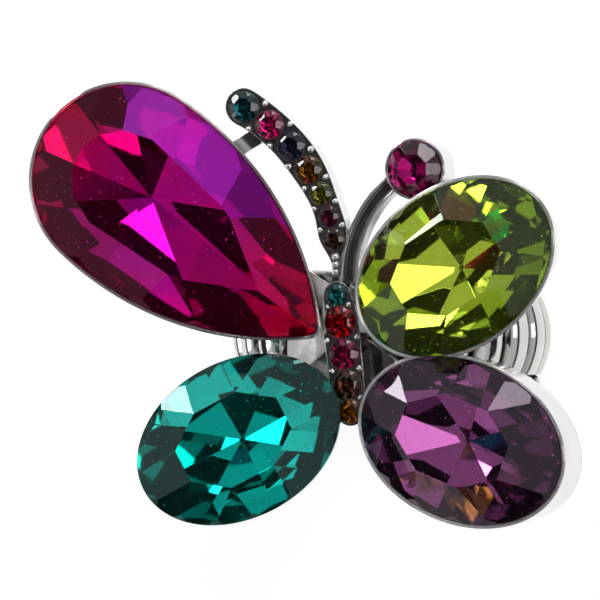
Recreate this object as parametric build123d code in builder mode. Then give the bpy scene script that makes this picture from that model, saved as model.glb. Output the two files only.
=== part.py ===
from build123d import *
import os
from math import atan2, cos, degrees, hypot, radians, sin, sqrt

# Butterfly stretch ring: four foiled glass wing stones in cast cups, a jewelled body and two antennae,
# soldered to a saddle that is closed by a band of barrel links on two elastic cords.
# Millimetres. The origin is the centre of the finger bore, +Y runs along the finger and +Z points out
# of the butterfly's face. An angle round the band is counted from +Z towards +X.

# Finger band
BORE_RADIUS = 9.6
SADDLE_HALF_ANGLE = 31.0
SADDLE_RADIUS = 12.25
SADDLE_WIDTH = 10.8
LINKS_PER_SIDE = 9
LINK_GAP_ANGLE = 0.6
LINK_CROWN_RADIUS = 13.35
LINK_END_RADIUS = 12.45
BARREL_LENGTH = 6.7
LINK_ROUNDING = 1.3
BALL_RADIUS = 0.88
BALL_OFFSET = 4.1

# Elastic cords and the tunnels that they run in
CORD_RING_RADIUS = 11.3
CORD_OFFSET = 2.4
CORD_RADIUS = 0.45
TUNNEL_RADIUS = 0.55
POCKET_RADIUS = 0.72
POCKET_ANGLE = 14.0
CRIMP_RADIUS = 0.66
CRIMP_ANGLE = 4.0

# Wing stones and their cups
GIRDLE_HEIGHT_AT_BODY = 17.9
WING_LEAN = 5.0
OVAL_LENGTH = 18.0
OVAL_WIDTH = 13.0
OVAL_CROWN = 2.3
OVAL_PAVILION = 3.8
PEAR_ROUND_RADIUS = 7.85
PEAR_TIP_REACH = 20.5
PEAR_TIP_HALF_ANGLE = 46.0
PEAR_TIP_ROUNDING = 0.7
PEAR_CROWN = 2.7
PEAR_PAVILION = 4.2
PEAR_CULET_SHIFT = 2.3
GIRDLE_THICKNESS = 0.5
CUP_DEPTH = 5.0
CUP_FLOOR = 0.5
CUP_WALL = 0.45
CUP_LEDGE = 0.65
LEDGE_LEVEL = -0.8
RIM_LEVEL = 0.15
SEAT_CLEARANCE = 0.03

# Antennae and body
TOP_FACE = 17.0
CHANNEL_DEPTH = 2.1
ANTENNA_GAP = 0.24
BODY_GAP = 0.15
ANTENNA_WALL = 0.33
BODY_WALL = 0.28
BEAD_RADIUS = 0.2
ANTENNA_ARC_CENTRE = (-15.55, 5.55)
ANTENNA_ARC_RADIUS = 15.2
ANTENNA_START_ANGLE = 61.2
ANTENNA_DIAMETERS = {
    "blue_zircon": 2.5,
    "fuchsia": 2.3,
    "navy": 2.3,
    "topaz": 2.2,
    "olivine": 1.8,
    "garnet": 1.7,
    "smoke": 1.7,
}
BODY_START = (-0.26, 3.3)
BODY_HEADING = -83.0
BODY_DIAMETERS = {"zircon": 1.7, "siam": 2.55, "rose": 2.45, "umber": 2.3, "amber": 1.85}
STEM_ARC_CENTRE = (11.25, 4.6)
STEM_ARC_RADIUS = 10.5
STEM_WIDTH = 1.45
STEM_RAIL = 0.24
STEM_START_ANGLE = 131.0
STEM_END_ANGLE = 182.0
STEM_DEPTH = 1.8
STEM_GROOVE = 0.35
TIP_STONE_CENTRE = (6.47, 13.7)
TIP_STONE_DIAMETER = 4.5
TIP_CUP_WALL = 0.3
TIP_CUP_DEPTH = 3.4

os.makedirs("parts", exist_ok=True)


def save(part, label):
    """Label one finished piece and write it as its own node."""
    part.label = label
    export_step(part, f"parts/{label}.step")


def radial_plane(angle):
    """Plane through the bore's axis at an angle round the band: x outwards, y along the finger."""
    turn = radians(angle)
    return Plane(origin=(0, 0, 0), x_dir=(sin(turn), 0, cos(turn)), z_dir=(-cos(turn), 0, sin(turn)))


def wing_plane(x, y, heading):
    """Girdle plane of a wing stone, leaned so that its outer edge rises, its x axis at heading."""
    height = GIRDLE_HEIGHT_AT_BODY + abs(x) * sin(radians(WING_LEAN))
    lean = -WING_LEAN if x > 0 else WING_LEAN
    return Plane(Location((x, y, height), (0, lean, 0)) * Location((0, 0, 0), (0, 0, heading)))


def facet_plane(seat, azimuth, slope, reach, level):
    """Plane of one facet: its outward normal at azimuth, its slope from the girdle plane.

    reach is its distance from the stone's axis at height level. A negative slope faces down.
    """
    turn, tilt = radians(azimuth), radians(abs(slope))
    up = cos(tilt) if slope > 0 else -cos(tilt)
    normal = Vector(cos(turn) * sin(tilt), sin(turn) * sin(tilt), up)
    foot = Vector(reach * cos(turn), reach * sin(turn), level)
    return Plane(origin=seat.from_local_coords(foot), z_dir=seat.from_local_coords(normal) - seat.origin)


def oval_facet(length, width, round_azimuth, round_slope):
    """Azimuth, slope and reach of a facet of a round cut after it is stretched to an oval."""
    turn, tilt = radians(round_azimuth), radians(round_slope)
    along = cos(turn) * width / length
    across = sin(turn)
    azimuth = degrees(atan2(across, along))
    slope = degrees(atan2(sin(tilt) * hypot(along, across), cos(tilt)))
    reach = hypot(length / 2 * cos(radians(azimuth)), width / 2 * sin(radians(azimuth)))
    return azimuth, slope, reach


def cut_facets(seat, facets, level, side):
    """Cut facets, each (azimuth, slope, reach), off the stone in the open part context."""
    for azimuth, slope, reach in facets:
        split(bisect_by=facet_plane(seat, azimuth, side * slope, reach, level), keep=Keep.BOTTOM)


def oval_row(length, width, count, first, slope, inset=1.0):
    """One row of evenly turned facets round an oval, inset as a share of the outline's reach."""
    row = []
    for number in range(count):
        azimuth, own_slope, reach = oval_facet(length, width, first + 360 / count * number, slope)
        row.append((azimuth, own_slope, reach * inset))
    return row


def oval_stone(seat, length, width, crown, pavilion, girdle=GIRDLE_THICKNESS):
    """Brilliant-cut oval or round stone with its girdle centred on the seat plane."""
    with BuildPart() as stone:
        with BuildSketch(seat.offset(-girdle / 2 - pavilion)):
            Ellipse(length / 2, width / 2)
        extrude(amount=pavilion + girdle + crown)
        crown_slope = degrees(atan2(crown, width / 2 * 0.47))
        cut_facets(seat, oval_row(length, width, 8, 0.0, crown_slope), girdle / 2, 1)
        cut_facets(seat, oval_row(length, width, 8, 22.5, crown_slope + 2.7), girdle / 2, 1)
        cut_facets(seat, oval_row(length, width, 16, 11.25, crown_slope + 9.0), girdle / 2, 1)
        keel_slope = degrees(atan2(pavilion, width / 2 * 0.97))
        cut_facets(seat, oval_row(length, width, 8, 22.5, keel_slope), -girdle / 2, -1)
        cut_facets(seat, oval_row(length, width, 16, 11.25, keel_slope + 8.0), -girdle / 2, -1)
    return stone.part


def small_stone(seat, diameter):
    """Small round brilliant: eight main crown facets with eight breaks, and a pointed pavilion."""
    crown, pavilion, girdle = diameter * 0.15, diameter * 0.38, diameter * 0.05
    with BuildPart() as stone:
        with BuildSketch(seat.offset(-girdle / 2 - pavilion)):
            Circle(diameter / 2)
        extrude(amount=pavilion + girdle + crown)
        cut_facets(seat, oval_row(diameter, diameter, 8, 0.0, 35.0), girdle / 2, 1)
        cut_facets(seat, oval_row(diameter, diameter, 8, 22.5, 41.0), girdle / 2, 1)
        cut_facets(seat, oval_row(diameter, diameter, 8, 0.0, 39.0), -girdle / 2, -1)
    return stone.part


# The pear outline: a round end at the seat's origin, two flank arcs tangent to it and a small round tip.
tip_turn = radians(PEAR_TIP_HALF_ANGLE)
FLANK_RADIUS = (PEAR_TIP_REACH**2 - PEAR_ROUND_RADIUS**2) / (
    2 * (PEAR_TIP_REACH * sin(tip_turn) - PEAR_ROUND_RADIUS)
)
FLANK_X = PEAR_TIP_REACH - FLANK_RADIUS * sin(tip_turn)
FLANK_Y = FLANK_RADIUS * cos(tip_turn)
JUNCTION_AZIMUTH = degrees(atan2(FLANK_Y, -FLANK_X))
TIP_AZIMUTH = 90 - PEAR_TIP_HALF_ANGLE


def pear_outline(grow=0.0):
    """Draw the pear's outline in the open sketch, grown outwards by grow."""
    round_radius, flank_radius = PEAR_ROUND_RADIUS + grow, FLANK_RADIUS + grow
    junction = Vector(round_radius, 0).rotate(Axis.Z, JUNCTION_AZIMUTH)
    middle_azimuth = (JUNCTION_AZIMUTH + TIP_AZIMUTH) / 2
    middle = Vector(FLANK_X, -FLANK_Y) + Vector(flank_radius, 0).rotate(Axis.Z, middle_azimuth)
    tip = Vector(FLANK_X + sqrt(flank_radius**2 - FLANK_Y**2), 0)
    with BuildLine() as drop:
        ThreePointArc(junction, middle, tip)
        ThreePointArc(tip, (middle.X, -middle.Y), (junction.X, -junction.Y))
        ThreePointArc((junction.X, -junction.Y), (-round_radius, 0), junction)
    make_face(drop.edges())
    fillet(vertices().sort_by(Axis.X)[-1], PEAR_TIP_ROUNDING + max(grow, 0))


def pear_reach(azimuth):
    """Distance from the round end's centre to the outline's tangent facing azimuth."""
    turn = radians(abs(azimuth))
    if abs(azimuth) >= JUNCTION_AZIMUTH:
        return PEAR_ROUND_RADIUS
    if abs(azimuth) >= TIP_AZIMUTH:
        return FLANK_X * cos(turn) - FLANK_Y * sin(turn) + FLANK_RADIUS
    return PEAR_TIP_REACH * cos(turn) - 0.3


def pear_row(azimuths, slope):
    """Facets in mirrored pairs, tangent to the pear's outline."""
    return [(side * azimuth, slope, pear_reach(azimuth)) for azimuth in azimuths for side in (1, -1)]


def pear_stone(seat):
    """Faceted pear with its round end's centre at the seat's origin and its tip along the seat's x."""
    top, bottom = GIRDLE_THICKNESS / 2, -GIRDLE_THICKNESS / 2
    mains = (60, 85, 111, 138, 166)
    corners = (72, 98, 124, 152)
    breaks = (66, 78, 91, 104, 117, 131, 145, 159, 173)
    with BuildPart() as stone:
        with BuildSketch(seat.offset(bottom - PEAR_PAVILION)):
            pear_outline()
        extrude(amount=PEAR_PAVILION + GIRDLE_THICKNESS + PEAR_CROWN)
        tip_cut = [(0, 40.0, pear_reach(0)), *pear_row((30,), 40.0)]
        cut_facets(seat, tip_cut, top, 1)
        cut_facets(seat, tip_cut, bottom, -1)
        cut_facets(seat, pear_row(mains, 35.0), top, 1)
        cut_facets(seat, pear_row(corners, 38.0), top, 1)
        cut_facets(seat, pear_row(breaks, 44.0), top, 1)
        for azimuth in (48, 80, 112, 144, 180):
            run = pear_reach(azimuth) - PEAR_CULET_SHIFT * cos(radians(azimuth))
            slope = degrees(atan2(PEAR_PAVILION, run))
            cut_facets(seat, pear_row((azimuth,), slope), bottom, -1)
        cut_facets(seat, pear_row(breaks, 37.0), bottom, -1)
    return stone.part


def oval_outline(grow=0.0):
    """Draw a wing oval's outline in the open sketch, grown outwards by grow."""
    Ellipse(OVAL_LENGTH / 2 + grow, OVAL_WIDTH / 2 + grow)


def cup_blank(seat, outline, rim, draft):
    """Filled outside shape of a cup, narrowing by draft from its rim to its floor."""
    with BuildPart() as blank:
        with BuildSketch(seat.offset(-CUP_DEPTH)):
            outline(rim - draft)
        with BuildSketch(seat.offset(RIM_LEVEL if rim > 0 else LEDGE_LEVEL)):
            outline(rim)
        loft()
    return blank.part


def stone_cup(seat, outline, rim, draft):
    """Open cup: a ledge carries the stone just under its girdle, and a positive rim stands round it."""
    with BuildPart() as cup:
        add(cup_blank(seat, outline, rim, draft))
        with BuildSketch(seat.offset(CUP_FLOOR - CUP_DEPTH)):
            outline(min(rim - draft, -CUP_LEDGE) - CUP_WALL)
        with BuildSketch(seat.offset(LEDGE_LEVEL + SEAT_CLEARANCE)):
            outline(-CUP_LEDGE)
        loft(mode=Mode.SUBTRACT)
        if rim > 0:
            with BuildSketch(seat.offset(LEDGE_LEVEL)):
                outline(SEAT_CLEARANCE)
            extrude(amount=RIM_LEVEL - LEDGE_LEVEL, mode=Mode.SUBTRACT)
    return cup.part


# Wing stones and cups: seat, outline, rim outside the stone (negative where the stone overhangs) and draft.
WINGS = {
    "pear": (wing_plane(-17.65, 12.8, -38.2), pear_outline, 0.35, 0.9),
    "peridot": (wing_plane(10.31, 5.56, 32.0), oval_outline, 0.35, 1.3),
    "teal": (wing_plane(-8.21, -8.63, 27.6), oval_outline, -0.2, 0.9),
    "amethyst": (wing_plane(10.88, -8.68, -22.0), oval_outline, 0.35, 0.3),
}
blanks = []
for wing, (seat, outline, rim, draft) in WINGS.items():
    if wing == "pear":
        save(pear_stone(seat), "pear_stone")
    else:
        save(oval_stone(seat, OVAL_LENGTH, OVAL_WIDTH, OVAL_CROWN, OVAL_PAVILION), f"{wing}_stone")
    blanks.append(cup_blank(seat, outline, rim, draft))


def trim(solids):
    """Cut neighbouring castings out of the open part so that they meet face to face."""
    for solid in solids:
        add(solid, mode=Mode.SUBTRACT)


def stone_room(wing):
    """Prism a little larger than a wing stone, cut out of the cup that crowds it."""
    seat, outline, rim, draft = WINGS[wing]
    with BuildPart() as room:
        with BuildSketch(seat.offset(-GIRDLE_THICKNESS)):
            outline(SEAT_CLEARANCE)
        extrude(amount=2 * GIRDLE_THICKNESS)
    return room.part


# The peridot and amethyst cups crowd each other, so each makes room where they meet.
CROWDED = {
    "pear": [],
    "teal": [],
    "peridot": [stone_room("amethyst")],
    "amethyst": [stone_room("peridot"), blanks[list(WINGS).index("peridot")]],
}
for wing, (seat, outline, rim, draft) in WINGS.items():
    with BuildPart() as cup:
        add(stone_cup(seat, outline, rim, draft))
        trim(CROWDED[wing])
    save(cup.part, f"{wing}_cup")


def drill_seat(x, y, diameter):
    """Drill a small stone's countersunk seat down from the top face of the open part."""
    with Locations((x, y, TOP_FACE)):
        CounterSinkHole(
            radius=diameter * 0.18,
            counter_sink_radius=diameter / 2 + SEAT_CLEARANCE,
            depth=diameter * 0.45,
            counter_sink_angle=90,
        )


def grain(x, y, radius=BEAD_RADIUS):
    """Raise one round grain of metal on the top face of the open part."""
    with Locations((x, y, TOP_FACE)):
        Sphere(radius)


# Body: a spindle-shaped channel with five stones in line
with BuildPart() as body_channel:
    diameters = list(BODY_DIAMETERS.values())
    body_seat = Plane(
        origin=(*BODY_START, TOP_FACE),
        x_dir=(cos(radians(BODY_HEADING)), sin(radians(BODY_HEADING)), 0),
        z_dir=(0, 0, 1),
    )
    stations = [0.0]
    for before, after in zip(diameters, diameters[1:]):
        stations.append(stations[-1] + (before + after) / 2 + BODY_GAP)
    halves = [diameter / 2 + BODY_WALL for diameter in diameters]
    edge = list(zip(stations, halves))
    mirrored_edge = [(along, -half) for along, half in edge]
    with BuildSketch(body_seat.offset(-CHANNEL_DEPTH)):
        with BuildLine():
            Spline(*edge)
            Spline(*mirrored_edge)
            ThreePointArc(edge[0], (-halves[0], 0), mirrored_edge[0])
            ThreePointArc(edge[-1], (stations[-1] + halves[-1], 0), mirrored_edge[-1])
        make_face()
    extrude(amount=CHANNEL_DEPTH)
    body_places = [body_seat.from_local_coords((along, 0)) for along in stations]
    for place, diameter in zip(body_places, diameters):
        drill_seat(place.X, place.Y, diameter)
    for number in range(1, len(stations)):
        between = stations[number - 1] + diameters[number - 1] / 2 + BODY_GAP / 2
        side = min(halves[number - 1], halves[number]) - BEAD_RADIUS
        for across in (side, -side):
            spot = body_seat.from_local_coords((between, across))
            grain(spot.X, spot.Y)
    trim(blanks)
save(body_channel.part, "body_channel")
for (stone_name, diameter), place in zip(BODY_DIAMETERS.items(), body_places):
    stone_seat = Plane(origin=(place.X, place.Y, TOP_FACE + diameter * 0.025), z_dir=(0, 0, 1))
    save(small_stone(stone_seat, diameter), f"body_stone_{stone_name}")


def antenna_point(angle, across=0.0):
    """Point of the antenna's arc at an angle about its centre, moved across it by across."""
    reach = ANTENNA_ARC_RADIUS + across
    turn = radians(angle)
    return (ANTENNA_ARC_CENTRE[0] + reach * cos(turn), ANTENNA_ARC_CENTRE[1] + reach * sin(turn))


# Left antenna: a curved channel that tapers to three plain grains where it meets the body
ANTENNA_TAIL_ANGLE = -4.5
ANTENNA_TAIL_HALF = 0.45
TAIL_GRAINS = {3.4: 0.3, 1.0: 0.3, -1.4: 0.3}
with BuildPart() as antenna_channel:
    diameters = list(ANTENNA_DIAMETERS.values())
    angles = [ANTENNA_START_ANGLE]
    for before, after in zip(diameters, diameters[1:]):
        angles.append(angles[-1] - degrees(((before + after) / 2 + ANTENNA_GAP) / ANTENNA_ARC_RADIUS))
    halves = [diameter / 2 + ANTENNA_WALL for diameter in diameters]
    edge_angles = angles + [3.4, ANTENNA_TAIL_ANGLE]
    edge_halves = halves + [ANTENNA_TAIL_HALF + 0.1, ANTENNA_TAIL_HALF]
    outer_edge = [antenna_point(angle, half) for angle, half in zip(edge_angles, edge_halves)]
    inner_edge = [antenna_point(angle, -half) for angle, half in zip(edge_angles, edge_halves)]
    cap_angle = angles[0] + degrees(halves[0] / ANTENNA_ARC_RADIUS)
    with BuildSketch(Plane.XY.offset(TOP_FACE - CHANNEL_DEPTH)):
        with BuildLine():
            Spline(*outer_edge)
            Spline(*inner_edge)
            ThreePointArc(outer_edge[0], antenna_point(cap_angle), inner_edge[0])
            Line(outer_edge[-1], inner_edge[-1])
        make_face()
    extrude(amount=CHANNEL_DEPTH)
    for angle, diameter in zip(angles, diameters):
        drill_seat(*antenna_point(angle), diameter)
    for number in range(1, len(angles)):
        step = degrees((diameters[number - 1] + ANTENNA_GAP) / 2 / ANTENNA_ARC_RADIUS)
        side = min(halves[number - 1], halves[number]) - BEAD_RADIUS
        for across in (side, -side):
            grain(*antenna_point(angles[number - 1] - step, across))
    for angle, radius in TAIL_GRAINS.items():
        grain(*antenna_point(angle), radius)
    trim([body_channel.part, *blanks])
save(antenna_channel.part, "antenna_channel")
for (stone_name, diameter), angle in zip(ANTENNA_DIAMETERS.items(), angles):
    stone_seat = Plane(origin=(*antenna_point(angle), TOP_FACE + diameter * 0.025), z_dir=(0, 0, 1))
    save(small_stone(stone_seat, diameter), f"antenna_stone_{stone_name}")

# Right antenna: a round cup with one larger stone on a grooved stem
tip_seat = Plane(origin=(*TIP_STONE_CENTRE, TOP_FACE + 0.3), z_dir=(0, 0, 1))
TIP_GIRDLE = 0.3
save(
    oval_stone(tip_seat, TIP_STONE_DIAMETER, TIP_STONE_DIAMETER, 0.85, 1.5, TIP_GIRDLE),
    "antenna_tip_stone",
)
with BuildPart() as antenna_tip_cup:
    with BuildSketch(tip_seat.offset(-TIP_CUP_DEPTH)):
        Circle(TIP_STONE_DIAMETER / 2 + TIP_CUP_WALL)
    extrude(amount=TIP_CUP_DEPTH)
    tip_blank = antenna_tip_cup.part
    with BuildSketch(tip_seat.offset(CUP_FLOOR - TIP_CUP_DEPTH)):
        Circle(TIP_STONE_DIAMETER / 2 - 0.45)
    extrude(amount=TIP_CUP_DEPTH, mode=Mode.SUBTRACT)
    with BuildSketch(tip_seat.offset(-TIP_GIRDLE / 2 - 0.45)):
        Circle(TIP_STONE_DIAMETER / 2 + SEAT_CLEARANCE)
    extrude(amount=TIP_CUP_DEPTH, mode=Mode.SUBTRACT)
    trim(blanks)
save(antenna_tip_cup.part, "antenna_tip_cup")


def stem_band(width):
    """Draw a band of the given width along the stem's arc in the open sketch."""
    sweep_angle = STEM_END_ANGLE - STEM_START_ANGLE
    with BuildLine() as band:
        inner = CenterArc(STEM_ARC_CENTRE, STEM_ARC_RADIUS - width / 2, STEM_START_ANGLE, sweep_angle)
        outer = CenterArc(STEM_ARC_CENTRE, STEM_ARC_RADIUS + width / 2, STEM_START_ANGLE, sweep_angle)
        Line(inner @ 0, outer @ 0)
        Line(inner @ 1, outer @ 1)
    make_face(band.edges())


with BuildPart() as antenna_stem:
    with BuildSketch(Plane.XY.offset(TOP_FACE - STEM_DEPTH)):
        stem_band(STEM_WIDTH)
    extrude(amount=STEM_DEPTH)
    with BuildSketch(Plane.XY.offset(TOP_FACE - STEM_GROOVE)):
        stem_band(STEM_WIDTH - 2 * STEM_RAIL)
    extrude(amount=STEM_GROOVE, mode=Mode.SUBTRACT)
    trim([tip_blank, body_channel.part, antenna_channel.part, *blanks])
save(antenna_stem.part, "antenna_stem")

# Cast bridges between the antennae and the upper cups
BRIDGE_HEIGHT = 1.5
with BuildPart() as pear_bridge:
    with BuildSketch(Plane.XY.offset(TOP_FACE - 0.2 - BRIDGE_HEIGHT)):
        with Locations(Location((-8.25, 15.8, 0), (0, 0, 30))):
            RectangleRounded(2.9, 1.4, 0.3)
    extrude(amount=BRIDGE_HEIGHT)
    trim([antenna_channel.part, *blanks])
save(pear_bridge.part, "pear_bridge")
with BuildPart() as peridot_bridge:
    with BuildSketch(Plane.XY.offset(TOP_FACE - 0.2 - BRIDGE_HEIGHT)):
        with Locations(Location((8.6, 11.9, 0), (0, 0, -42))):
            RectangleRounded(2.2, 1.6, 0.3)
    extrude(amount=BRIDGE_HEIGHT)
    trim([tip_blank, *blanks])
save(peridot_bridge.part, "peridot_bridge")

# Saddle: the plain top quarter of the band, with a blind pocket for each cord end
with BuildPart() as ring_saddle:
    saddle_half = SADDLE_HALF_ANGLE - LINK_GAP_ANGLE / 2
    with BuildSketch(radial_plane(-saddle_half)):
        with Locations(((BORE_RADIUS + SADDLE_RADIUS) / 2, 0)):
            Rectangle(SADDLE_RADIUS - BORE_RADIUS, SADDLE_WIDTH)
        fillet(vertices().group_by(Axis.X)[-1], 0.45)
    revolve(axis=Axis.Y, revolution_arc=2 * saddle_half)
    for pocket_start in (-saddle_half, saddle_half - POCKET_ANGLE):
        with BuildSketch(radial_plane(pocket_start)):
            with Locations((CORD_RING_RADIUS, CORD_OFFSET), (CORD_RING_RADIUS, -CORD_OFFSET)):
                Circle(POCKET_RADIUS)
        revolve(axis=Axis.Y, revolution_arc=POCKET_ANGLE, mode=Mode.SUBTRACT)
save(ring_saddle.part, "ring_saddle")

# Gallery: the spine under the body and an arm under each cup, soldered to the saddle
ARM_WIDTH = 2.6
ARM_THICKNESS = 1.0
SPINE_LENGTH = 11.0
SPINE_WIDTH = 2.0
with BuildPart() as gallery_frame:
    with BuildSketch(Plane.XY.offset(SADDLE_RADIUS - 0.4)):
        with Locations(Location((0.2, -1.3, 0), (0, 0, BODY_HEADING))):
            SlotOverall(SPINE_LENGTH, SPINE_WIDTH)
    extrude(amount=TOP_FACE - CHANNEL_DEPTH - SADDLE_RADIUS + 0.4)
    for wing, (seat, outline, rim, draft) in WINGS.items():
        under = seat.offset(-CUP_DEPTH - ARM_THICKNESS)
        inward = under.to_local_coords(Vector(0, seat.origin.Y * 0.12, under.origin.Z))
        with BuildSketch(under):
            SlotCenterPoint((inward.X / 2, inward.Y / 2), (inward.X, inward.Y), ARM_WIDTH)
        extrude(amount=ARM_THICKNESS)
    trim([ring_saddle.part, body_channel.part, *blanks])
save(gallery_frame.part, "gallery_frame")

# Band links: barrels with a ball at each end and a tunnel for each cord
pitch = (360 - 2 * SADDLE_HALF_ANGLE) / (2 * LINKS_PER_SIDE + 1)
link_span = pitch - LINK_GAP_ANGLE
with BuildPart() as link_pattern:
    with BuildSketch(radial_plane(-link_span / 2)):
        with BuildLine():
            ends = BARREL_LENGTH / 2
            ThreePointArc((LINK_END_RADIUS, -ends), (LINK_CROWN_RADIUS, 0), (LINK_END_RADIUS, ends))
            Polyline(
                (LINK_END_RADIUS, ends), (BORE_RADIUS, ends), (BORE_RADIUS, -ends), (LINK_END_RADIUS, -ends)
            )
        make_face()
    revolve(axis=Axis.Y, revolution_arc=link_span)
    long_edges = [
        edge
        for edge in link_pattern.edges().filter_by(GeomType.CIRCLE)
        if edge.bounding_box().size.Y > BARREL_LENGTH * 0.9
    ]
    fillet(long_edges, LINK_ROUNDING)
    ball_height = LINK_END_RADIUS - BALL_RADIUS
    with Locations((0, BALL_OFFSET, ball_height), (0, -BALL_OFFSET, ball_height)):
        Sphere(BALL_RADIUS)
    with BuildSketch(radial_plane(-link_span / 2 - 1)):
        with Locations((CORD_RING_RADIUS, CORD_OFFSET), (CORD_RING_RADIUS, -CORD_OFFSET)):
            Circle(TUNNEL_RADIUS)
    revolve(axis=Axis.Y, revolution_arc=link_span + 2, mode=Mode.SUBTRACT)

link_turns = {"bottom": 180.0}
for number in range(1, LINKS_PER_SIDE + 1):
    turn = SADDLE_HALF_ANGLE + pitch * (number - 0.5)
    link_turns[f"right_{number}"] = turn
    link_turns[f"left_{number}"] = -turn
for place, turn in link_turns.items():
    with BuildPart() as link:
        add(link_pattern.part, rotation=(0, turn, 0))
    save(link.part, f"link_{place}")

# Elastic cords, each from its pocket in one end of the saddle round the band to the other
cord_start = SADDLE_HALF_ANGLE - POCKET_ANGLE + 1.5
for cord_name, offset in (("upper", CORD_OFFSET), ("lower", -CORD_OFFSET)):
    with BuildPart() as cord:
        with BuildSketch(radial_plane(cord_start)):
            with Locations((CORD_RING_RADIUS, offset)):
                Circle(CORD_RADIUS)
        revolve(axis=Axis.Y, revolution_arc=360 - 2 * cord_start)
    save(cord.part, f"elastic_cord_{cord_name}")
with BuildPart() as cord_crimps:
    for crimp_start in (cord_start + 1, -cord_start - 1 - CRIMP_ANGLE):
        with BuildSketch(radial_plane(crimp_start)):
            with Locations((CORD_RING_RADIUS, CORD_OFFSET), (CORD_RING_RADIUS, -CORD_OFFSET)):
                Circle(CRIMP_RADIUS)
                Circle(CORD_RADIUS + 0.01, mode=Mode.SUBTRACT)
        revolve(axis=Axis.Y, revolution_arc=CRIMP_ANGLE)
save(cord_crimps.part, "cord_crimps")
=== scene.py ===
import math
import random

import bmesh
import bpy
from mathutils import Matrix, Vector, noise


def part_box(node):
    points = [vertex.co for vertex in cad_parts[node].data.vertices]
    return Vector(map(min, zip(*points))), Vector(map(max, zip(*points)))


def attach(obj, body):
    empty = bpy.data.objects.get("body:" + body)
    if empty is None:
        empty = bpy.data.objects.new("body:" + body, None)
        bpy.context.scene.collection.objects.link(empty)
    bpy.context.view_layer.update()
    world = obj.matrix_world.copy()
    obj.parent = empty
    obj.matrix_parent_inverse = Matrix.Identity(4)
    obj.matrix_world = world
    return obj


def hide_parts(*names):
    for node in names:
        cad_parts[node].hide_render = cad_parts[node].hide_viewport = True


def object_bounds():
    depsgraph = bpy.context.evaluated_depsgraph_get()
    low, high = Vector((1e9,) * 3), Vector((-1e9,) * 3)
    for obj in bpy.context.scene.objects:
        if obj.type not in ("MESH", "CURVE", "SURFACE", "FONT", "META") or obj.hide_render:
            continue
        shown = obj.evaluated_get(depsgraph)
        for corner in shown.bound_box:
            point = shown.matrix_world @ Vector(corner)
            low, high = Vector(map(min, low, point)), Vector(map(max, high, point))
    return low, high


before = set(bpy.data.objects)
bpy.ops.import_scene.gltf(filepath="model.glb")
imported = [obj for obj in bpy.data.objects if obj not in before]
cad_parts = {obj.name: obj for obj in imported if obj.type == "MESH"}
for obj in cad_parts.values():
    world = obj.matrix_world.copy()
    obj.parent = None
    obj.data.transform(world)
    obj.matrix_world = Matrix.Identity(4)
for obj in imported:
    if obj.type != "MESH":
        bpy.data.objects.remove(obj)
cad_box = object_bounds()

MM = 0.001
LOW, HIGH = (Vector(corner) for corner in cad_box)
FACE = Vector((0, 0, 17)) * MM


# ---------------------------------------------------------------- node helpers
class Nodes:
    """A material with a Principled shader and short calls that add and link its nodes."""

    def __init__(self, name, **inputs):
        self.material = bpy.data.materials.new(name)
        self.material.use_nodes = True
        self.tree = self.material.node_tree
        self.shader = self.tree.nodes["Principled BSDF"]
        for socket, value in inputs.items():
            self.shader.inputs[socket.replace("_", " ")].default_value = value

    def add(self, kind, **inputs):
        node = self.tree.nodes.new(kind)
        for socket, value in inputs.items():
            target = node.inputs[socket.replace("_", " ")]
            if isinstance(value, bpy.types.NodeSocket):
                self.tree.links.new(value, target)
            else:
                target.default_value = value
        return node

    def link(self, source, socket):
        self.tree.links.new(source, self.shader.inputs[socket])

    def place(self):
        """Object coordinates: the piece's own place in metres."""
        return self.add("ShaderNodeTexCoord").outputs["Object"]

    def noise(self, scale, detail=2.0, roughness=0.5):
        node = self.add("ShaderNodeTexNoise", Vector=self.place(), Scale=scale, Detail=detail, Roughness=roughness)
        return node.outputs["Fac"]

    def remap(self, value, low, high, out_low, out_high):
        node = self.add("ShaderNodeMapRange", Value=value)
        for socket, number in zip(("From Min", "From Max", "To Min", "To Max"), (low, high, out_low, out_high)):
            node.inputs[socket].default_value = number
        return node.outputs["Result"]

    def bump(self, height, strength, distance):
        node = self.add("ShaderNodeBump", Height=height)
        node.inputs["Strength"].default_value = strength
        node.inputs["Distance"].default_value = distance
        self.link(node.outputs["Normal"], "Normal")
        return node


# ---------------------------------------------------------------- materials
def plating(name, colour, roughness, ripple, edge, crevice_reach=0.9 * MM, dark=(0.035, 0.032, 0.03)):
    """Rhodium-coloured plate on cast metal: rounded edges, casting ripples, painted shade in the crevices, fine
    wear.
    """
    nodes = Nodes(name, Metallic=1.0)
    haze = nodes.noise(900.0, 4.0, 0.6)
    nodes.link(nodes.remap(haze, 0.35, 0.75, roughness, roughness * 2.6), "Roughness")
    # Painted shade: the colour falls from the metal's tone to the dark colour where the AO node finds crevices and
    # recesses, with a random mottle on top.
    crevice = nodes.add("ShaderNodeAmbientOcclusion", Distance=crevice_reach)
    shade_and_mottle = nodes.add("ShaderNodeMath")
    shade_and_mottle.operation = "MULTIPLY"
    nodes.tree.links.new(nodes.remap(crevice.outputs["AO"], 0.35, 0.92, 0.04, 1.0), shade_and_mottle.inputs[0])
    nodes.tree.links.new(nodes.remap(nodes.noise(260.0, 3.0), 0.3, 0.7, 0.86, 1.0), shade_and_mottle.inputs[1])
    tone = nodes.add("ShaderNodeMix")
    tone.data_type = "RGBA"
    nodes.tree.links.new(shade_and_mottle.outputs[0], tone.inputs["Factor"])
    tone.inputs["A"].default_value = (*dark, 1)
    tone.inputs["B"].default_value = (*colour, 1)
    nodes.link(tone.outputs["Result"], "Base Color")
    rounded = nodes.add("ShaderNodeBevel", Radius=edge)
    rounded.samples = 4
    ripples = nodes.bump(nodes.noise(420.0, 3.0, 0.55), ripple, 0.00004)
    nodes.tree.links.new(rounded.outputs["Normal"], ripples.inputs["Normal"])
    return nodes.material


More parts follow.
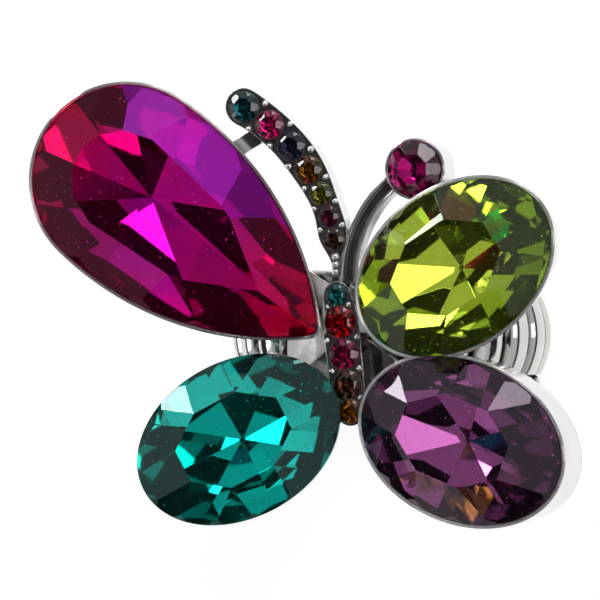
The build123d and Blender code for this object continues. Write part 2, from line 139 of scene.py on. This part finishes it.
def crystal(name, tint, sheen, haze=0.0):
    """Polished crown glass: clear and tinted, with sparse dust and hairline wear; where haze is set, a diffuse
    tinted haze that paints a sheen.
    """
    nodes = Nodes(name, Transmission_Weight=1.0, IOR=1.56, Specular_IOR_Level=0.4, Specular_Tint=(*sheen, 1))
    nodes.shader.inputs["Base Color"].default_value = (*tint, 1)
    specks = nodes.noise(5200.0, 2.0, 0.4)
    nodes.link(nodes.remap(specks, 0.70, 0.78, 0.0, 0.35), "Roughness")
    # Painted sheen: with haze set, less light passes through and the tint shows as a diffuse haze in place of a
    # reflected sheen.
    if haze:
        grain = nodes.noise(11000.0, 1.0, 0.3)
        nodes.link(nodes.remap(grain, 0.35, 0.65, 1.0 - 0.75 * haze, 1.0 - 1.25 * haze), "Transmission Weight")
    else:
        dust = nodes.noise(3600.0, 1.0, 0.3)
        nodes.link(nodes.remap(dust, 0.755, 0.785, 1.0, 0.35), "Transmission Weight")
    nodes.bump(nodes.noise(300.0, 1.0, 0.5), 0.02, 0.00001)
    return nodes.material


def foil(name, middle, rim, centre, reach):
    """Mirror foil on the back facets, seen through the glass: its colour drifts from middle to rim."""
    nodes = Nodes(name, Metallic=0.95, Roughness=0.04)
    away = nodes.add("ShaderNodeVectorMath", Vector=nodes.place())
    away.operation = "DISTANCE"
    away.inputs[1].default_value = centre
    spread = nodes.add("ShaderNodeMath")
    spread.operation = "MULTIPLY_ADD"
    nodes.tree.links.new(nodes.noise(350.0, 3.0, 0.6), spread.inputs[0])
    spread.inputs[1].default_value = 0.5 * reach
    nodes.tree.links.new(away.outputs["Value"], spread.inputs[2])
    drift = nodes.add("ShaderNodeMix")
    drift.data_type = "RGBA"
    shift = nodes.remap(spread.outputs[0], 0.45 * reach, 1.2 * reach, 0.0, 1.0)
    nodes.tree.links.new(shift, drift.inputs["Factor"])
    drift.inputs["A"].default_value = (*middle, 1)
    drift.inputs["B"].default_value = (*rim, 1)
    nodes.link(drift.outputs["Result"], "Base Color")
    nodes.bump(nodes.noise(2500.0, 2.0, 0.5), 0.04, 0.00001)
    return nodes.material


def elastic_material():
    """Translucent elastic filament, slightly stringy."""
    nodes = Nodes("elastic", Roughness=0.35, Subsurface_Weight=0.3)
    nodes.shader.inputs["Subsurface Radius"].default_value = (0.0006, 0.0005, 0.0004)
    tone = nodes.add("ShaderNodeMix")
    tone.data_type = "RGBA"
    nodes.tree.links.new(nodes.noise(3000.0), tone.inputs["Factor"])
    tone.inputs["A"].default_value = (0.40, 0.39, 0.37, 1)
    tone.inputs["B"].default_value = (0.28, 0.27, 0.255, 1)
    nodes.link(tone.outputs["Result"], "Base Color")
    return nodes.material


# The dark colour of each plating is its painted shade in crevices and grooves.
PLATE = plating("rhodium_plate", (0.78, 0.77, 0.76), 0.07, 0.25, 0.12 * MM, dark=(0.30, 0.26, 0.235))
BAND_PLATE = plating("band_plate", (0.68, 0.665, 0.635), 0.05, 0.12, 0.16 * MM, 2.6 * MM, (0.05, 0.045, 0.04))
CUP_PLATE = plating("cup_plate", (0.80, 0.79, 0.79), 0.09, 0.2, 0.36 * MM)
BEAD_PLATE = plating("bead_plate", (0.88, 0.87, 0.86), 0.04, 0.1, 0.02 * MM)
STEEL = plating("crimp_steel", (0.60, 0.60, 0.61), 0.2, 0.4, 0.05 * MM)
ELASTIC = elastic_material()

# Crown tint, foil colour in the middle, foil colour at the rim
GEMS = {
    "pear_stone": ((0.94, 0.04, 0.46), (0.50, 0.10, 0.50), (0.95, 0.05, 0.07)),
    "peridot_stone": ((0.76, 0.91, 0.16), (0.68, 0.74, 0.36), (0.48, 0.64, 0.28)),
    "teal_stone": ((0.02, 0.80, 0.73), (0.20, 0.58, 0.54), (0.16, 0.48, 0.44)),
    "amethyst_stone": ((0.62, 0.22, 0.51), (0.44, 0.33, 0.44), (0.36, 0.25, 0.34)),
    "antenna_tip_stone": ((0.80, 0.07, 0.38), (0.55, 0.12, 0.42), (0.42, 0.10, 0.34)),
    "antenna_stone_blue_zircon": ((0.05, 0.40, 0.46), (0.25, 0.40, 0.42), (0.25, 0.40, 0.42)),
    "body_stone_zircon": ((0.06, 0.62, 0.66), (0.25, 0.55, 0.55), (0.25, 0.55, 0.55)),
    "antenna_stone_fuchsia": ((0.94, 0.08, 0.44), (0.92, 0.20, 0.60), (0.85, 0.20, 0.50)),
    "body_stone_rose": ((0.92, 0.10, 0.42), (0.70, 0.22, 0.45), (0.66, 0.22, 0.42)),
    "antenna_stone_navy": ((0.14, 0.13, 0.22), (0.30, 0.30, 0.45), (0.30, 0.30, 0.45)),
    "antenna_stone_topaz": ((0.60, 0.30, 0.09), (0.55, 0.38, 0.18), (0.55, 0.38, 0.18)),
    "antenna_stone_olivine": ((0.50, 0.48, 0.07), (0.50, 0.50, 0.20), (0.50, 0.50, 0.20)),
    "antenna_stone_garnet": ((0.50, 0.06, 0.22), (0.40, 0.15, 0.30), (0.40, 0.15, 0.30)),
    "antenna_stone_smoke": ((0.42, 0.24, 0.16), (0.40, 0.32, 0.25), (0.40, 0.32, 0.25)),
    "body_stone_siam": ((0.98, 0.03, 0.08), (0.80, 0.10, 0.20), (0.78, 0.10, 0.18)),
    "body_stone_umber": ((0.50, 0.24, 0.16), (0.50, 0.34, 0.28), (0.50, 0.34, 0.28)),
    "body_stone_amber": ((0.80, 0.44, 0.08), (0.70, 0.46, 0.18), (0.70, 0.46, 0.18)),
}

# Reflection colour of the plain crowns, where it isn't white
SHEEN = {
    "pear_stone": (1.0, 0.12, 0.34),
    "peridot_stone": (0.84, 0.95, 0.74),
    "teal_stone": (0.62, 0.95, 0.95),
    "amethyst_stone": (0.95, 0.80, 0.96),
}

# Steep crown facets that face one direction and carry a guessed hazy violet coat; placing it on that side only
# paints the sheen of the light from there: direction, tint, reflection colour
COAT_AND_PAINTED_SHEEN = {"pear_stone": (Vector((0.50, 0.70, 0.50)).normalized(), (0.50, 0.02, 0.50), (0.52, 0.0, 0.66))}


# ---------------------------------------------------------------- stones
def new_piece(name, mesh_maker, materials, body, replaces=None):
    """Make a mesh object from a bmesh and tie it to its body."""
    mesh = bpy.data.meshes.new(name)
    mesh_maker.to_mesh(mesh)
    mesh_maker.free()
    piece = bpy.data.objects.new(name, mesh)
    bpy.context.scene.collection.objects.link(piece)
    for material in materials:
        mesh.materials.append(material)
    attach(piece, body)
    if replaces:
        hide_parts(replaces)
    return piece


def whole_facets(node):
    """The CAD stone as a bmesh whose every flat facet is one face."""
    facets = bmesh.new()
    facets.from_mesh(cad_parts[node].data)
    bmesh.ops.remove_doubles(facets, verts=facets.verts, dist=0.002 * MM)
    bmesh.ops.dissolve_limit(
        facets, angle_limit=math.radians(0.6), verts=facets.verts, edges=facets.edges, use_dissolve_boundaries=False
    )
    return facets


def cut_stone(node, bevel):
    """Polished stone: glass over the crown, foil from the girdle down, and softened facet edges."""
    facets = whole_facets(node)
    sharp = [edge for edge in facets.edges if edge.is_manifold and edge.calc_face_angle() > math.radians(4)]
    bmesh.ops.bevel(facets, geom=sharp, offset=bevel, segments=1, affect="EDGES", profile=0.5, clamp_overlap=True)
    bmesh.ops.recalc_face_normals(facets, faces=facets.faces)
    low, high = (Vector(pick(v.co[axis] for v in facets.verts) for axis in range(3)) for pick in (min, max))
    centre = (low + high) / 2
    tint, middle, rim = GEMS[node]
    looks = [
        crystal(f"{node}_glass", tint, SHEEN.get(node, (1, 1, 1))),
        foil(f"{node}_foil", middle, rim, centre, (high - low).length / 2),
    ]
    # Painted sheen: the steep facets turned towards the given direction get the hazy violet glass.
    if node in COAT_AND_PAINTED_SHEEN:
        facing, coat_sheen_tint, sheen = COAT_AND_PAINTED_SHEEN[node]
        looks.append(crystal(f"{node}_coat_painted_sheen", coat_sheen_tint, sheen, haze=0.24))
    for face in facets.faces:
        face.smooth = False
        face.material_index = 1 if face.normal.z < 0.25 else 0
        if node in COAT_AND_PAINTED_SHEEN and 0.25 <= face.normal.z < 0.93 and face.normal.dot(facing) > 0.86:
            face.material_index = 2
    new_piece(node.replace("_stone", "_gem"), facets, looks, "root", node)


for node in GEMS:
    if "antenna_stone" in node or "body_stone" in node:
        cut_stone(node, 0.012 * MM)
    else:
        cut_stone(node, 0.03 * MM)


# ---------------------------------------------------------------- bead prongs
def round_place(node):
    """Centre and radius of a small stone, with its centre at the height of its crown's foot."""
    corners = [Vector(corner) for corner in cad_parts[node].bound_box]
    low, high = (Vector(pick(c[axis] for c in corners) for axis in range(3)) for pick in (min, max))
    return Vector(((low.x + high.x) / 2, (low.y + high.y) / 2, high.z)), (high.x - low.x) / 2


def bead_row(name, stones, top, wall, size):
    """Raised beads that hold a row of small stones, one on each side of every gap, each a bit different."""
    chance = random.Random(7)
    beads = bmesh.new()
    places = [round_place(stone) for stone in stones]
    for (here, radius), (there, next_radius) in zip(places, places[1:]):
        along = (there - here).normalized()
        across = Vector((-along.y, along.x, 0))
        between = here + along * ((there - here).length + radius - next_radius) / 2
        side = min(radius, next_radius) + wall - size
        for sign in (1, -1):
            centre = between + across * sign * side
            centre.z = top
            grown = size * chance.uniform(0.9, 1.15)
            shape = Matrix.Diagonal((chance.uniform(0.9, 1.15), chance.uniform(0.9, 1.1), 1.1, 1))
            turn = Matrix.Rotation(chance.uniform(0, math.tau), 4, "Z")
            bead = bmesh.ops.create_icosphere(
                beads, subdivisions=4, radius=grown, matrix=Matrix.Translation(centre) @ turn @ shape
            )
            for vert in bead["verts"]:
                dent = noise.noise(vert.co / (0.25 * MM))
                vert.co += (vert.co - centre).normalized() * dent * 0.03 * MM
    for face in beads.faces:
        face.smooth = True
    new_piece(name, beads, [BEAD_PLATE], "root")


ANTENNA_ROW = [f"antenna_stone_{key}" for key in ("blue_zircon", "fuchsia", "navy", "topaz", "olivine", "garnet", "smoke")]
BODY_ROW = [f"body_stone_{key}" for key in ("zircon", "siam", "rose", "umber", "amber")]
TOP_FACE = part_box("antenna_stem")[1][2]
bead_row("antenna_beads", ANTENNA_ROW, TOP_FACE + 0.02 * MM, 0.33 * MM, 0.25 * MM)
bead_row("body_beads", BODY_ROW, TOP_FACE + 0.02 * MM, 0.28 * MM, 0.24 * MM)


# ---------------------------------------------------------------- metal and cords
for node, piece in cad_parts.items():
    if node in GEMS:
        continue
    if node.startswith("link_") or node == "ring_saddle":
        look = BAND_PLATE
    elif node.endswith("_cup") or node == "antenna_stem":
        look = CUP_PLATE
    elif node.startswith("elastic_cord"):
        look = ELASTIC
    elif node == "cord_crimps":
        look = STEEL
    else:
        look = PLATE
    piece.data.materials.clear()
    piece.data.materials.append(look)


# ---------------------------------------------------------------- elastic cords
SADDLE_HALF_ANGLE = math.radians(31)
LINKS = [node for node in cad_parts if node.startswith("link_")]
PITCH = (math.tau - 2 * SADDLE_HALF_ANGLE) / len(LINKS)
CORD_LOW, CORD_HIGH = (Vector(corner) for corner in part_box("elastic_cord_upper"))
CORD_RADIUS = (CORD_HIGH.y - CORD_LOW.y) / 2
CORD_OFFSET = (CORD_HIGH.y + CORD_LOW.y) / 2
CORD_RING_RADIUS = -CORD_LOW.z - CORD_RADIUS
CORD_SIDES = 20


def cord_run(run, start, end, offset):
    """Add one closed round run of cord to a bmesh, between two angles about the bore from +Z towards +X."""
    steps = max(2, round(math.degrees(end - start) / 2))
    rings = []
    for step in range(steps + 1):
        turn = start + (end - start) * step / steps
        outward = Vector((math.sin(turn), 0, math.cos(turn)))
        centre = outward * CORD_RING_RADIUS + Vector((0, offset, 0))
        ring = []
        for side in range(CORD_SIDES):
            lap = math.tau * side / CORD_SIDES
            reach = outward * math.cos(lap) + Vector((0, math.sin(lap), 0))
            ring.append(run.verts.new(centre + reach * CORD_RADIUS))
        rings.append(ring)
    for ring, following in zip(rings, rings[1:]):
        for side in range(CORD_SIDES):
            after = (side + 1) % CORD_SIDES
            face = run.faces.new((ring[side], ring[after], following[after], following[side]))
            face.smooth = True
    run.faces.new(rings[0])
    run.faces.new(reversed(rings[-1]))


def cord_piece(name, spans, body, replaces=()):
    """Both cords over some spans of the band, as one piece on one body."""
    run = bmesh.new()
    for start, end in spans:
        for offset in (CORD_OFFSET, -CORD_OFFSET):
            cord_run(run, start, end, offset)
    bmesh.ops.recalc_face_normals(run, faces=run.faces)
    piece = new_piece(name, run, [ELASTIC], body)
    if replaces:
        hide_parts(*replaces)


# Each link carries its own stretch of cord, with spare length inside its neighbours' tunnels.
for node in LINKS:
    low, high = (Vector(corner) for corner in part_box(node))
    middle = (low + high) / 2
    turn = math.atan2(middle.x, middle.z)
    spare = 0.62 * PITCH
    cord_piece(node.replace("link", "cord_run"), [(turn - spare, turn + spare)], node)
HIDDEN_END = SADDLE_HALF_ANGLE - math.radians(12.5)
SADDLE_SPANS = [
    (HIDDEN_END, SADDLE_HALF_ANGLE + 0.12 * PITCH),
    (-SADDLE_HALF_ANGLE - 0.12 * PITCH, -HIDDEN_END),
]
cord_piece("cord_run_saddle", SADDLE_SPANS, "root", ("elastic_cord_upper", "elastic_cord_lower"))


# ---------------------------------------------------------------- stage, light and camera
def area_light(name, place, target, size, power, colour=(1, 1, 1)):
    """Soft box at place, facing target; size is (width, height) in metres."""
    lamp = bpy.data.lights.new(name, "AREA")
    lamp.shape = "RECTANGLE"
    lamp.size, lamp.size_y = size
    lamp.energy = power
    lamp.color = colour
    light = bpy.data.objects.new(name, lamp)
    light.location = place
    light.rotation_euler = (Vector(target) - Vector(place)).to_track_quat("-Z", "Y").to_euler()
    light.visible_camera = False
    bpy.context.scene.collection.objects.link(light)


def on_dome(azimuth, elevation, reach):
    """Place round the face: azimuth from +X towards +Y, elevation above the floor."""
    turn, rise = math.radians(azimuth), math.radians(elevation)
    return FACE + reach * Vector((math.cos(turn) * math.cos(rise), math.sin(turn) * math.cos(rise), math.sin(rise)))


def panel(name, azimuth, elevation, size, radiance, colour=(1, 1, 1), reach=0.5):
    """Soft box on the dome with an even radiance over its face."""
    power = radiance * math.pi * size[0] * size[1]
    area_light(name, on_dome(azimuth, elevation, reach), FACE, size, power, colour)


def flag(name, azimuth, elevation, size, reach, only_mirrored=False):
    """Black card on the dome that keeps the tent's light off one side, or is only seen in the metal."""
    centre = on_dome(azimuth, elevation, reach)
    bpy.ops.mesh.primitive_plane_add(size=1.0, location=centre)
    card = bpy.context.object
    card.name = name
    card.rotation_euler = (FACE - centre).to_track_quat("-Z", "Y").to_euler()
    card.scale = (*size, 1)
    card.visible_camera = False
    if only_mirrored:
        card.visible_diffuse = False
        card.visible_transmission = False
        card.visible_shadow = False
    card.data.materials.append(Nodes(name, Roughness=1.0, Base_Color=(0.012, 0.012, 0.013, 1)).material)


def build_stage():
    """Plain white floor and tent, dark cards above and in front, and soft boxes round the face."""
    bpy.ops.mesh.primitive_plane_add(size=3.0, location=(0, 0, LOW.z - 0.0002))
    floor = bpy.context.object
    floor.name = "floor"
    white = Nodes("floor_white", Roughness=0.9)
    white.shader.inputs["Base Color"].default_value = (0.93, 0.93, 0.93, 1)
    white.shader.inputs["Emission Color"].default_value = (1, 1, 1, 1)
    white.shader.inputs["Emission Strength"].default_value = 0.46
    floor.data.materials.append(white.material)
    world = bpy.data.worlds.new("tent")
    world.use_nodes = True
    world.node_tree.nodes["Background"].inputs["Color"].default_value = (0.60, 0.60, 0.61, 1)
    bpy.context.scene.world = world
    bpy.context.scene.view_settings.view_transform = "Standard"
    flag("overhead_flag", azimuth=0, elevation=88, size=(0.90, 0.74), reach=0.75)
    flag("front_flag", azimuth=-95, elevation=26, size=(0.60, 0.24), reach=0.45)
    flag("right_low_card", azimuth=0, elevation=-5, size=(0.28, 0.036), reach=0.12, only_mirrored=True)
    flag("left_low_card", azimuth=180, elevation=-5, size=(0.28, 0.036), reach=0.12, only_mirrored=True)
    panel("back_bank", azimuth=71, elevation=19, size=(0.26, 0.14), radiance=5.4)
    panel("corner_box", azimuth=137, elevation=4, size=(0.15, 0.11), radiance=13.0)
    panel("top_strip", azimuth=98, elevation=46, size=(0.14, 0.05), radiance=4.0)
    panel("right_box", azimuth=5, elevation=28, size=(0.12, 0.22), radiance=3.0)
    panel("left_box", azimuth=190, elevation=26, size=(0.12, 0.28), radiance=3.5)


def build_camera():
    """Long lens above the face, leaned towards +X, with the antennae up."""
    lean = math.radians(15)
    target = Vector((-3.25, 2.9, 17.6)) * MM
    reach = 1.2
    pixels_per_mm = 12.1
    back = Vector((math.sin(lean), 0, math.cos(lean)))
    right = Vector((math.cos(lean), 0, -math.sin(lean)))
    data = bpy.data.cameras.new("camera")
    data.sensor_width = 36.0
    data.lens = pixels_per_mm * reach / MM / 600 * data.sensor_width
    data.clip_start, data.clip_end = 0.01, 10.0
    camera = bpy.data.objects.new("camera", data)
    axes = Matrix((right, Vector((0, 1, 0)), back)).transposed()
    camera.matrix_world = Matrix.Translation(target + back * reach) @ axes.to_4x4()
    bpy.context.scene.collection.objects.link(camera)
    bpy.context.scene.camera = camera


build_stage()
build_camera()
